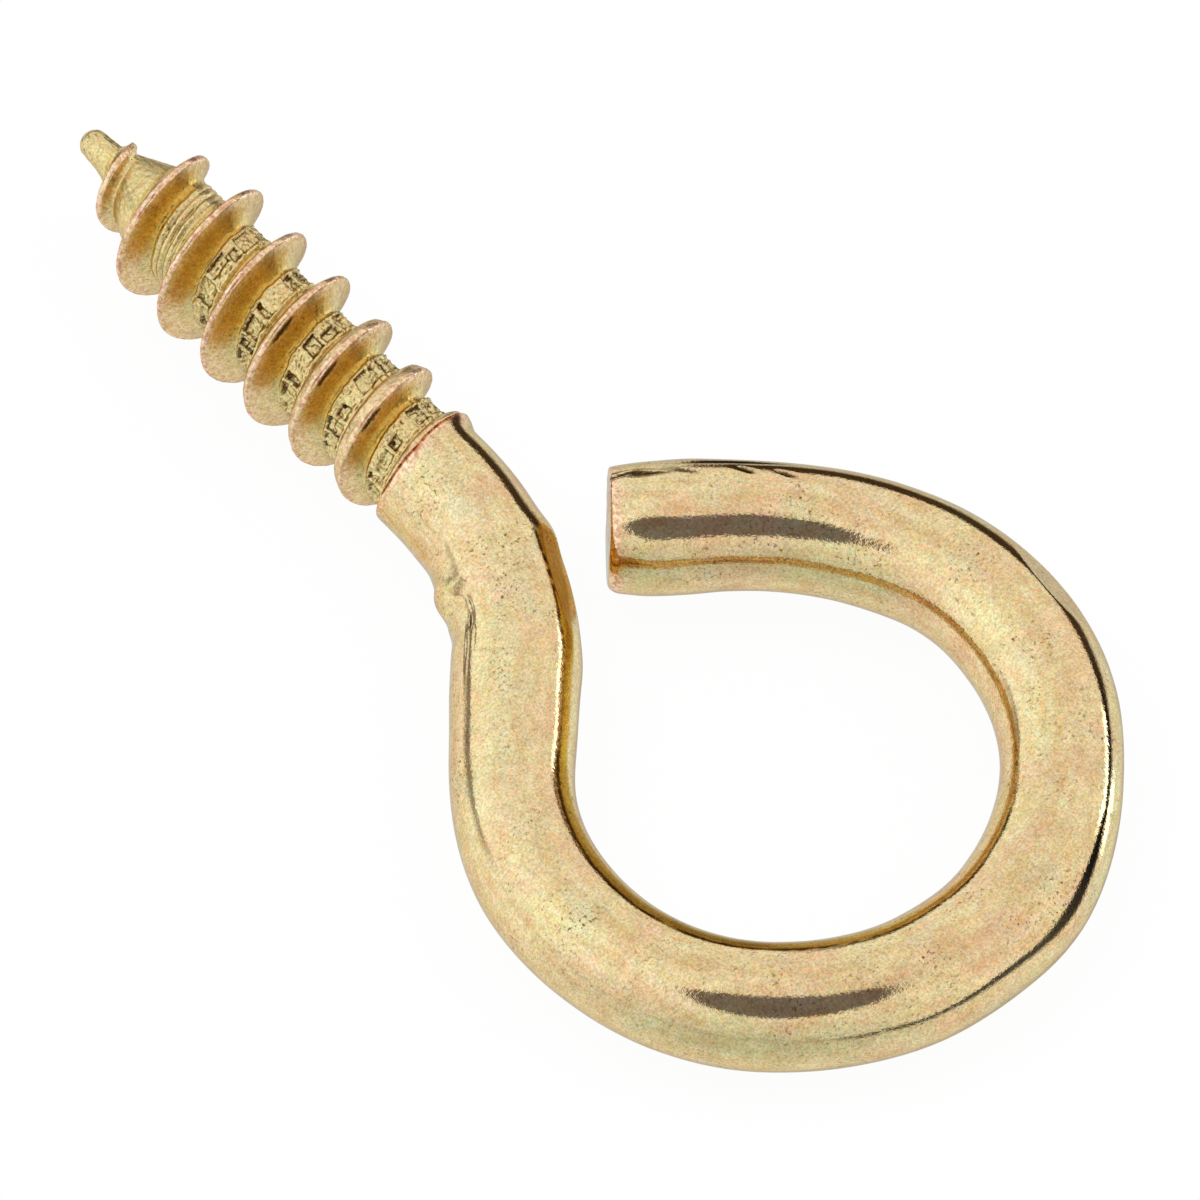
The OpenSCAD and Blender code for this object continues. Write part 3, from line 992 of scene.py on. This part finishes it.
stores = {name: [] for name in NUMBER_NAMES}
for k, (grid_s, grid_r) in enumerate(grids):
    phi = np.broadcast_to(phi_row, grid_s.shape)
    if k < WIRE_GRIDS:
        numbers = dict(zip(NUMBER_NAMES, wire_numbers(grid_s, phi, grid_r)))
    else:
        numbers = dict(zip(NUMBER_NAMES, thread_numbers(grid_s - collar_s, phi)))
    if k == COLLAR_GRID:
        from_edge = grid_s - collar_s - wave
        patch = smooth_step(ripple(grid_s * 1.2, phi, 0.8, 0.5, seed=44), 0.05, 0.45)
        rubbed = 0.75 * smooth_step(from_edge, -0.30, -0.12)
        rubbed += 0.65 * smooth_step(from_edge, -0.62, -0.35) * patch
        face = smooth_step(from_edge, -0.10, 0.0)
        numbers["worn"] = np.clip(numbers["worn"] + rubbed, 0, 1)
        numbers["rolled"] = np.clip(numbers["rolled"] + face, 0, 1)
    for name, values in numbers.items():
        stores[name].append(np.broadcast_to(values, grid_s.shape).ravel())
print("point numbers:", ", ".join(NUMBER_NAMES))

# %% Weld
def in_scene(name, data):
    """A new object that holds data, put into the scene."""
    made = bpy.data.objects.new(name, data)
    bpy.context.scene.collection.objects.link(made)
    return made


def weld(name, points, faces, numbers, near=2e-5):
    """Makes a mesh with its point numbers, and merges points closer than near, in mm."""
    mesh = bpy.data.meshes.new(name)
    mesh.from_pydata(points.tolist(), [], faces.tolist())
    for key, values in numbers.items():
        layer = mesh.attributes.new(key, "FLOAT", "POINT")
        layer.data.foreach_set("value", np.concatenate(values).astype(np.float32))
    work = bmesh.new()
    work.from_mesh(mesh)
    bmesh.ops.remove_doubles(work, verts=work.verts, dist=near)
    bmesh.ops.dissolve_degenerate(work, dist=near, edges=work.edges)
    work.to_mesh(mesh)
    open_edges = sum(1 for e in work.edges if not e.is_manifold)
    triangles = sum(len(f.verts) - 2 for f in work.faces)
    volume = work.calc_volume(signed=True)
    work.free()
    mesh.transform(Matrix.Scale(MM, 4))
    mesh.shade_smooth()
    print(f"{name}: {triangles} triangles, {open_edges} open edges, {volume:.1f} mm3")
    return mesh


mesh = weld("screw_eye_wire", points, faces, stores)
eye = in_scene("plated_screw_eye", mesh)
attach(eye, "root")
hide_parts("screw_eye")

# %% [markdown]
# ## The finish
#
# Yellow passivate is a film thinner than a wavelength of light over bright zinc. It is not
# one colour: it drifts between straw, a breath of pink and a breath of green, because its
# thickness drifts. Under it the zinc is slightly grainy, which breaks the edge of every
# reflection into fine teeth. So the metal is fully metallic, and its colour comes from slow
# noise for the film and fine noise for the grain.

# %% Helpers for node trees
def colour(r, g, b):
    """A colour written as it looks on a screen, from 0 to 255, as linear light."""
    c = np.array([r, g, b]) / 255
    linear = np.where(c <= 0.04045, c / 12.92, ((c + 0.055) / 1.055) ** 2.4)
    return (*linear, 1.0)


def put(tree, value, socket):
    """Links the socket to another one, or writes a number or colour into it."""
    if isinstance(value, bpy.types.NodeSocket):
        tree.links.new(value, socket)
    else:
        socket.default_value = value


def add(tree, kind, **settings):
    """Adds one node and sets its named properties, or its inputs given as in_NAME."""
    node = tree.nodes.new(kind)
    for key, value in settings.items():
        if key.startswith("in_"):
            put(tree, value, node.inputs[key[3:].replace("_", " ")])
        else:
            setattr(node, key, value)
    return node


def maths(tree, operation, *values):
    """One step of arithmetic. Each value may be a socket or a number."""
    node = add(tree, "ShaderNodeMath", operation=operation)
    for value, socket in zip(values, node.inputs):
        put(tree, value, socket)
    return node.outputs[0]


def mix(tree, share, first, second, how="MIX"):
    """Mixes two colours by a share. Each may be a socket or a fixed value."""
    node = add(tree, "ShaderNodeMix", data_type="RGBA", blend_type=how)
    for value, k in ((share, 0), (first, 6), (second, 7)):
        put(tree, value, node.inputs[k])
    return node.outputs[2]


def with_nodes(kind, name):
    """A new material or world, and its node tree."""
    made = kind.new(name)
    made.use_nodes = True
    return made, made.node_tree


print("mid grey on a screen is", round(colour(128, 128, 128)[0], 3), "of the light of white")

# %% Helpers for noise
def noise(tree, place, scale, detail, rough):
    """Noise on millimetre coordinates: scale is how many blobs to a millimetre."""
    return add(tree, "ShaderNodeTexNoise", in_Vector=place, in_Scale=scale, in_Detail=detail,
               in_Roughness=rough).outputs["Fac"]


def spread(tree, value, low, high, low_out=0.0, high_out=1.0):
    """Stretches a value's range from low..high to low_out..high_out, held at the ends."""
    return add(tree, "ShaderNodeMapRange", in_Value=value, in_From_Min=low, in_From_Max=high,
               in_To_Min=low_out, in_To_Max=high_out).outputs["Result"]


def speckle(tree, place, scale, detail, rough, *ranges):
    """Noise whose given range is stretched."""
    return spread(tree, noise(tree, place, scale, detail, rough), *ranges)

# %% [markdown]
# Every colour and every noise of the finish is named first, so that the node tree reads like
# a recipe. A noise is given by its blobs to a millimetre, its detail, its roughness, the range
# of it that is used, and the range that this becomes when it isn't 0 to 1.

# %% The colours of the plating
STRAW = colour(254, 235, 190)
BLUSH = colour(255, 224, 188)
GREENISH = colour(247, 236, 200)
ROLLED_STRAW = colour(252, 232, 180)
ROSY = colour(247, 234, 222)
WORN_PINK = colour(252, 216, 184)
WORN_DEEP = colour(204, 146, 112)
# Of the next three, the first is the tint of the painted gold reflection, and the last the brown of dirt,
# painted shade and painted reflection lines.
GOLD_REFLECTION_TINT = colour(228, 199, 104)
PORE_BROWN = colour(132, 104, 66)
DIRT_AND_SHADE_BROWN = colour(64, 42, 18)
GRAZING = (0.86, 0.76, 0.62, 1.0)    # how the film looks where light skims along it
print("the film is straw:", np.round(STRAW[:3], 3))

# %% The noises of the plating
SPECKLES = {
    "blush": (0.60, 4, 0.6, 0.44, 0.62),
    "green": (0.75, 4, 0.6, 0.54, 0.72),
    "pores": (10.0, 2, 0.6, 0.585, 0.66),
    "pored": (0.7, 2, 0.6, 0.46, 0.68, 0.16, 0.90),
    "pinker": (7.0, 2, 0.7, 0.42, 0.58),
    "patchy": (4.0, 2, 0.6, 0.35, 0.60, 0.35, 1.0),
    "broken": (9.0, 2, 0.6, 0.25, 0.50, 0.70, 1.0),
    "drawn_gloss": (5.0, 2, 0.5, 0.3, 0.7, 0.05, 0.08),
    "rolled_gloss": (5.0, 2, 0.5, 0.3, 0.7, 0.27, 0.37),
}
GRAINS = [               # a noise, and the two tints it passes between
    (6.0, 3, 0.8, 0.36, 0.64, colour(242, 255, 250), colour(255, 242, 236)),
    (7.3, 3, 0.8, 0.36, 0.64, colour(255, 252, 222), colour(252, 252, 255)),
    (14.0, 2, 0.8, 0.36, 0.64, colour(212, 209, 202), colour(255, 255, 255)),
    (2.6, 3, 0.7, 0.36, 0.60, colour(240, 238, 234), colour(255, 255, 255)),
]
CRUMBS = (11.0, 2, 0.6)              # the noise that breaks up dark marks, and the bump's
CRUMBS_MOVED = 0.55                  # how much a dark mark moves that noise
CRUMBS_RANGE = (0.72, 0.84)
BUMP_HEIGHT = 3.8e-6                 # in metres
print(f"{len(SPECKLES) + len(GRAINS) + 1} noises")

# %% The plated metal
def plating():
    """Yellow passivate over zinc: hue drift, fine grain, worn edges, painted gold reflection and shade.
    """
    material, tree = with_nodes(bpy.data.materials, "yellow_plated_steel")
    shader = tree.nodes["Principled BSDF"]
    where = add(tree, "ShaderNodeTexCoord").outputs["Object"]
    place = add(tree, "ShaderNodeMapping", in_Vector=where, in_Scale=(1 / MM,) * 3).outputs[0]
    number = {name: add(tree, "ShaderNodeAttribute", attribute_name=name).outputs["Fac"]
              for name in NUMBER_NAMES}
    share = {name: speckle(tree, place, *row) for name, row in SPECKLES.items()}

    film = mix(tree, share["green"], mix(tree, share["blush"], STRAW, BLUSH), GREENISH)
    film = mix(tree, number["rolled"], film, ROLLED_STRAW)
    film = mix(tree, number["rosy"], film, ROSY, "MULTIPLY")
    for *row, low_tint, high_tint in GRAINS:
        tint = mix(tree, speckle(tree, place, *row), low_tint, high_tint)
        film = mix(tree, 1.0, film, tint, "MULTIPLY")
    pores = maths(tree, "MULTIPLY", share["pores"], share["pored"])
    film = mix(tree, pores, film, PORE_BROWN, "MULTIPLY")
    worn = maths(tree, "MULTIPLY", number["worn"], share["patchy"])
    film = mix(tree, worn, film, mix(tree, share["pinker"], WORN_DEEP, WORN_PINK))
    # Painted reflection: gold along the inner edge, on the cut end and on the blades' hollow sides.
    film = mix(tree, number["gold"], film, GOLD_REFLECTION_TINT, "MULTIPLY")

    # Dark marks: dirt in the nicks, painted shade in prints, gaps and ridges, painted reflection lines.
    crumbs = noise(tree, place, *CRUMBS)
    even = maths(tree, "MULTIPLY", number["dark"], share["broken"])
    moved = maths(tree, "MULTIPLY_ADD", number["dark"], CRUMBS_MOVED, crumbs)
    both = maths(tree, "ADD", even, spread(tree, moved, *CRUMBS_RANGE))
    film = mix(tree, maths(tree, "MULTIPLY", both, 0.5), film, DIRT_AND_SHADE_BROWN)

    gloss = add(tree, "ShaderNodeMix", data_type="FLOAT")
    for value, k in ((number["rolled"], 0), (share["drawn_gloss"], 2), (share["rolled_gloss"], 3)):
        put(tree, value, gloss.inputs[k])
    fine = add(tree, "ShaderNodeBump", in_Strength=1.0, in_Distance=BUMP_HEIGHT, in_Height=crumbs)
    sockets = {"Base Color": film, "Metallic": 1.0, "Specular Tint": GRAZING,
               "Roughness": gloss.outputs[0], "Normal": fine.outputs["Normal"]}
    for name, value in sockets.items():
        put(tree, value, shader.inputs[name])
    return material


mesh.materials.append(plating())
print("finish:", mesh.materials[0].name)

# %% [markdown]
# ## Floor and light
#
# Bright metal has no look of its own: it shows what stands round it. A light tent is the
# usual answer, all soft white, with one opening for the lens and a dark gap along its foot.
# The opening shows on the wire as two soft dark lozenges, and the gap as a dark line that
# follows the edges of the wire. Both are needed, or the metal looks like painted plastic.

# %% How the object rests
rest_y, rest_z = -eye_r, -wire_r
thread_points = points[points[:, 1] > collar_y]
slopes = (rest_z - thread_points[:, 2]) / (thread_points[:, 1] - rest_y)
floor_tilt = math.atan(slopes.max())
print(f"the floor leans by {math.degrees(floor_tilt):.2f} degrees under the thread")

# %% The floor's white card
CARD_WHITE = (0.95, 0.95, 0.95, 1)
FLOOR_LIFT = 0.955       # share of the floor that is plain white to the lens


def blend(tree, share, first, second):
    """Mixes two shaders by a share."""
    node = add(tree, "ShaderNodeMixShader")
    for value, socket in zip((share, first.outputs[0], second.outputs[0]), node.inputs):
        tree.links.new(value, socket)
    return node


def floor_material():
    """White card: a soft shadow shows on it, and the lens sees the rest of it as plain white."""
    material, tree = with_nodes(bpy.data.materials, "floor_card")
    card = tree.nodes["Principled BSDF"]
    for name, value in (("Base Color", CARD_WHITE), ("Roughness", 1.0), ("Specular IOR Level", 0.0)):
        put(tree, value, card.inputs[name])
    white = add(tree, "ShaderNodeEmission", in_Strength=1.0)
    path = add(tree, "ShaderNodeLightPath").outputs
    off_gloss = maths(tree, "MAXIMUM", path["Is Camera Ray"], path["Is Glossy Ray"])
    seen = maths(tree, "MAXIMUM", off_gloss, path["Is Transmission Ray"])
    lifted = blend(tree, maths(tree, "MULTIPLY", seen, FLOOR_LIFT), card, white)
    put(tree, lifted.outputs[0], tree.nodes["Material Output"].inputs["Surface"])
    return material


floor_card = floor_material()
print("card:", floor_card.name)

# %% The floor
FLOOR_SIZE = 1.2         # in metres

half = FLOOR_SIZE / 2
corners = [(-half, -half, 0), (half, -half, 0), (half, half, 0), (-half, half, 0)]
floor_mesh = bpy.data.meshes.new("floor")
floor_mesh.from_pydata(corners, [], [(0, 1, 2, 3)])
floor_mesh.transform(Matrix.Rotation(-floor_tilt, 4, "X"))
floor_mesh.transform(Matrix.Translation((0, rest_y * MM, rest_z * MM)))
floor_mesh.materials.append(floor_card)
floor = in_scene("floor", floor_mesh)
floor.visible_glossy = False         # the metal sees the tent below the horizon too, not the card
floor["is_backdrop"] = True
print("floor:", len(floor_mesh.polygons), "face")

# %% [markdown]
# The lens looks steeply down along this direction. A very long lens from far away keeps the
# wire's thickness the same everywhere, as small parts are usually shown.

# %% The camera
LENS_AZIMUTH, LENS_ELEVATION = -41.088, 60.277
LOOK_AT = (-0.356, 6.988, 0.0)         # what the middle of the view looks at, in mm
VIEW_WIDTH = 31.258                   # what fits across the view, in mm
LENS_DISTANCE = 1.45                  # in metres: far enough to keep the wire's thickness even

centre = Vector(LOOK_AT) * MM


def direction(azimuth, elevation):
    """Unit vector towards a place seen at that compass angle from +X, and that height."""
    a, e = math.radians(azimuth), math.radians(elevation)
    return Vector((math.cos(a) * math.cos(e), math.sin(a) * math.cos(e), math.sin(e)))


def stand_off(thing, toward, distance):
    """Puts a camera or lamp at centre + direction x distance, and faces it back."""
    thing.location = centre + toward * distance
    thing.rotation_euler = (-toward).to_track_quat("-Z", "Y").to_euler()


lens_place = (LENS_AZIMUTH - 90, LENS_ELEVATION)
lens = bpy.data.cameras.new("long_lens")
lens.sensor_width = 36.0
lens.lens = lens.sensor_width * LENS_DISTANCE / (VIEW_WIDTH * MM)
lens.clip_start, lens.clip_end = 0.05, 50.0
camera = in_scene("camera", lens)
stand_off(camera, direction(*lens_place), LENS_DISTANCE)
bpy.context.scene.camera = camera
print(f"lens {lens.lens:.0f} mm at {LENS_DISTANCE} m")

# %% [markdown]
# ## The tent that the metal sees
#
# A tent could be built from white cards. Here it is painted on the world instead: a world
# shader is asked for a colour in each direction, and a direction is just a compass angle and
# a height over the horizon. What the lens sees stays plain white, and only rays that come
# off the metal see the tent's seams, its gap and its opening.

# %% Directions in the world shader
def ramp(tree, value, start, end):
    """0 before start, 1 after end, an S-curve between. Any input may be a socket."""
    return add(tree, "ShaderNodeMapRange", interpolation_type="SMOOTHSTEP", in_Value=value,
               in_From_Min=start, in_From_Max=end).outputs["Result"]


def window(tree, value, start, end, soft):
    """1 between start and end and 0 outside, with soft sides."""
    return maths(tree, "SUBTRACT", ramp(tree, value, start - soft, start + soft),
                 ramp(tree, value, end - soft, end + soft))


def angle_to(tree, looked, azimuth, height):
    """Angle in degrees between the looked-up direction and a fixed one: their dot's arccosine."""
    dot = add(tree, "ShaderNodeVectorMath", operation="DOT_PRODUCT")
    put(tree, looked, dot.inputs[0])
    put(tree, direction(azimuth, height), dot.inputs[1])
    return maths(tree, "DEGREES", maths(tree, "ARCCOSINE", dot.outputs["Value"]))


def by_azimuth(tree, azimuth, pairs, low, high):
    """A line through (azimuth, value) pairs, looked up by azimuth. Values lie in low..high."""
    node = add(tree, "ShaderNodeFloatCurve")
    curve = node.mapping.curves[0]
    for k, (angle, value) in enumerate(pairs):
        knot = ((angle + 180) / 360, (value - low) / (high - low))
        point = curve.points[k] if k < 2 else curve.points.new(*knot)
        point.location = knot
        point.handle_type = "VECTOR"
    node.mapping.update()
    tree.links.new(maths(tree, "MULTIPLY_ADD", azimuth, 1 / 360, 0.5), node.inputs["Value"])
    return maths(tree, "MULTIPLY_ADD", node.outputs[0], high - low, low)

# %% [markdown]
# The gap isn't level. The tent's wall stands at different distances all round, so seen from
# the object its foot climbs and falls, and it is wide and brown towards the room and narrow
# and black towards the wall. The table gives it at some thirty compass angles.

# %% The gap along the foot
GAP_COLOURS = ((0.012, 0.013, 0.016, 1.0), (0.074, 0.051, 0.034, 1.0))   # by the wall, the room
ROOM_FROM = (-12.0, 8.0)                 # azimuths over which the wall gives way to the room
GAP = [                  # (azimuth, height of its top edge, height of its foot, darkness)
    (-180, 2, -3, 0.15),
    (-130, 2, -4, 0.20),
    (-121, -3, -8, 0.25),
    (-113, -3.5, -9, 0.9),
    (-98, -6.5, -13, 0.95),
    (-81, -5, -14, 0.92),
    (-64, -4, -18.0, 0.92),
    (-48, 2, -22.0, 0.95),
    (-34, 4, -15.0, 1.0),
    (-21, 1, -8, 1.0),
    (-8, 5, -8, 1.0),
    (4, 6, -12, 1.0),
    (13, 6, -15, 1.0),
    (22, 5, -18, 1.0),
    (30, 4, -20, 1.0),
    (38, 3, -22, 1.0),
    (45, 0, -24, 1.0),
    (48.3, -1, -27, 1.0),
    (49.4, 5, -12, 0.40),
    (51, 8, -3, 0.40),
    (57, 7.6, -6, 0.90),
    (70, 6.8, -10, 0.95),
    (90, 6, -10, 0.95),
    (101, 4, -10, 0.85),
    (106, 3, -10, 0.8),
    (113, 8, -4, 0.75),
    (126, 13, 5, 0.6),
    (136, 12, 5, 0.15),
    (180, 2, -3, 0.15),
]
print(f"the gap is given at {len(GAP)} azimuths")

# %% Tints, glints and the opening
OPENING_ANGLE = 19.6     # half the angle that the tent's opening takes up, in degrees
OPENING_GLOW = (0.222, 0.208, 0.248, 1.0)
TENT_WHITE = (1.11, 1.09, 1.16, 1.0)
GLINT_WHITE = (3.6, 3.8, 4.4, 1.0)
OVER_GLINT = (-27.0, -7.0, 5.0)          # (azimuth from, to, height), over the gap
UNDER_GLINT = (-28.0, -16.0, 10.5)       # the same, under the gap
LOBES = [                # (azimuth, height, reach in degrees, colour): broad, soft tints
    (-40, 85, 45, (0.89, 0.77, 0.80, 1.0)),
    (130, 38, 95, (1.29, 1.41, 1.51, 1.0)),
    (-140, -15, 75, (0.69, 0.78, 0.80, 1.0)),
    (62, 44, 50, (1.08, 1.11, 1.21, 1.0)),
    (44, -38, 26, (0.38, 0.29, 0.21, 1.0)),
    (30, -58, 85, (0.84, 0.96, 1.14, 1.0)),
    (30, -64, 36, (0.62, 0.60, 0.55, 1.0)),
    (-15, -38, 32, (1.06, 1.24, 1.44, 1.0)),
]
print(f"{len(LOBES)} tints")

# %% The painted tent
def gap_share(tree, azimuth, height, top, foot, dark):
    """1 between the gap's foot and its top edge, with soft sides, times its darkness."""
    under_top = ramp(tree, maths(tree, "SUBTRACT", top, height), -1.0, 1.0)
    fade = maths(tree, "MULTIPLY_ADD", ramp(tree, azimuth, *ROOM_FROM), 1.5, 4.0)
    over = maths(tree, "SUBTRACT", height, foot)
    over_foot = ramp(tree, over, maths(tree, "MULTIPLY", fade, -1.0), fade)
    return maths(tree, "MULTIPLY", maths(tree, "MULTIPLY", under_top, over_foot), dark)


def painted_tent(tree):
    """Colour of the tent by direction: tints, then the gap, the two glints and the opening."""
    looked = add(tree, "ShaderNodeTexCoord").outputs["Generated"]
    x, y, z = add(tree, "ShaderNodeSeparateXYZ", in_Vector=looked).outputs
    azimuth = maths(tree, "DEGREES", maths(tree, "ARCTAN2", y, x))
    height = maths(tree, "DEGREES", maths(tree, "ARCSINE", z))
    tent = TENT_WHITE
    for lobe_azimuth, lobe_height, reach, tint in LOBES:
        off = angle_to(tree, looked, lobe_azimuth, lobe_height)
        tent = mix(tree, maths(tree, "SUBTRACT", 1.0, ramp(tree, off, 0.0, reach)), tent, tint)
    angles, tops, feet, darks = zip(*GAP)
    top = by_azimuth(tree, azimuth, zip(angles, tops), -40, 20)
    foot = by_azimuth(tree, azimuth, zip(angles, feet), -40, 20)
    dark = by_azimuth(tree, azimuth, zip(angles, darks), 0, 1)
    gap_colour = mix(tree, ramp(tree, azimuth, *ROOM_FROM), *GAP_COLOURS)
    tent = mix(tree, gap_share(tree, azimuth, height, top, foot, dark), tent, gap_colour)
    over = maths(tree, "SUBTRACT", height, top)
    under = maths(tree, "SUBTRACT", foot, height)
    for (first, last, reach), distance in ((OVER_GLINT, over), (UNDER_GLINT, under)):
        along = window(tree, azimuth, first, last, 1.5)
        glint = maths(tree, "MULTIPLY", along, window(tree, distance, 0.3, reach, 0.8))
        tent = mix(tree, glint, tent, GLINT_WHITE)
    off_lens = angle_to(tree, looked, *lens_place)
    opening = ramp(tree, off_lens, OPENING_ANGLE + 0.5, OPENING_ANGLE - 0.5)
    return mix(tree, opening, tent, OPENING_GLOW)

# %% [markdown]
# Two soft boxes light the floor, and give the object its shadow. The metal doesn't show them,
# because the tent is already what it mirrors. They stay weak, so that the floor isn't burnt out.

# %% The lamps
LAMP_SIZE, LAMP_DISTANCE = 0.5, 0.9      # in metres
LAMPS = [                # (name, azimuth, elevation, watts)
    ("soft_key", 120, 62, 2.2),
    ("soft_fill", -30, 48, 1.4),
]
for name, azimuth, elevation, watts in LAMPS:
    lamp = bpy.data.lights.new(name, "AREA")
    lamp.size = LAMP_SIZE
    lamp.energy = watts
    box = in_scene(name, lamp)
    stand_off(box, direction(azimuth, elevation), LAMP_DISTANCE)
    box.visible_glossy = False
    print(f"{name}: {watts} W")

# %% The world
SOFT_LIGHT = 0.75        # strength of the plain light that falls on the floor
WHITE = (1, 1, 1, 1)


def tent_world():
    """White to the lens, the painted tent to the metal, and plain soft light to the floor."""
    world, tree = with_nodes(bpy.data.worlds, "white_tent")
    light = tree.nodes["Background"]
    put(tree, WHITE, light.inputs["Color"])
    put(tree, SOFT_LIGHT, light.inputs["Strength"])
    tent = add(tree, "ShaderNodeBackground", in_Strength=1.0, in_Color=painted_tent(tree))
    plain = add(tree, "ShaderNodeBackground", in_Strength=1.0, in_Color=WHITE)
    path = add(tree, "ShaderNodeLightPath").outputs
    off_metal = maths(tree, "MAXIMUM", path["Is Glossy Ray"], path["Is Transmission Ray"])
    lit = blend(tree, off_metal, light, tent)
    seen = blend(tree, path["Is Camera Ray"], lit, plain)
    put(tree, seen.outputs[0], tree.nodes["World Output"].inputs["Surface"])
    return world


bpy.context.scene.world = tent_world()
bpy.context.scene.view_settings.view_transform = "Standard"
print("world:", bpy.context.scene.world.name)

# %% [markdown]
# ## Finish
#
# The box of what was made has to be the box of the frame: the looks never change the size.

# %% Compare the boxes and finish
shown_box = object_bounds()
for name, box in (("frame", frame_box), ("shown", shown_box)):
    print(name, "box in mm:", [[round(x / MM, 3) for x in corner] for corner in box])
